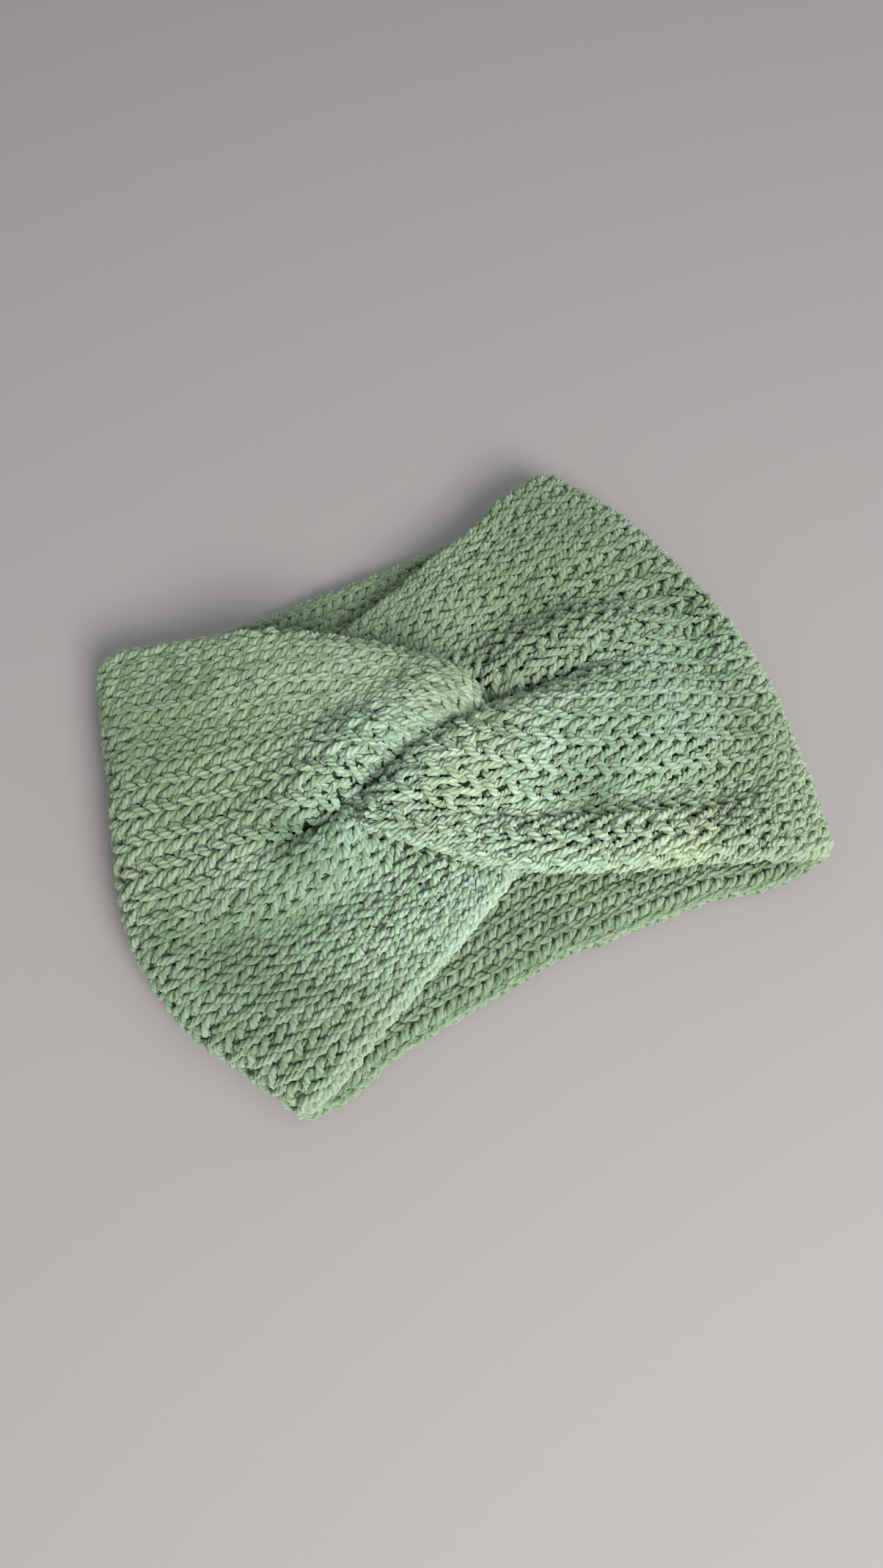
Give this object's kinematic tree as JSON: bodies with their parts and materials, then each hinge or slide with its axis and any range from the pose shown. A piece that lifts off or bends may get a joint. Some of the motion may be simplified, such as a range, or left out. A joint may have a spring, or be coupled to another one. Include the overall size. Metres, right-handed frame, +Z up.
{
  "type": "knotted headband",
  "caption": "Wide double-layer knitted headband with a turban twist at the front, lying flat as a closed loop, with an opening for the head.",
  "frame": {"origin": "middle of the underside of the flat loop, where the bounding box meets the table", "axes": "+X along the flat loop from one bent end to the other, +Y across the band, +Z up from the table through the knot"},
  "size_m": [0.216, 0.17, 0.0334],
  "materials": {
    "knit": "soft plied worsted yarn in stockinette stitch, tonal sage green with mint and olive patches, matt with a short fuzz",
    "sewing_yarn": "the same plied sage green yarn, used for sewing the knot and left as woven-in ends"
  },
  "bodies": {
    "back": {"back_panel": "knit", "left_end_fold": "knit", "right_end_fold": "knit"},
    "front": {"left_shoulder": "knit", "right_shoulder": "knit", "upper_left_lobe": "knit", "lower_right_lobe": "knit", "lower_left_wing": "knit", "upper_right_wing": "knit", "knot_gathered_ends": "knit", "knot_seam_stitches": "sewing_yarn", "cast_on_tail": "sewing_yarn", "bind_off_tail": "sewing_yarn"}
  },
  "joints": [
    {"name": "loop_opening", "type": "slide", "parent": "back", "child": "front", "axis": [0, 0, 1], "range_m": [0, 0.024], "deforming": ["left_shoulder", "right_shoulder"]}
  ]
}
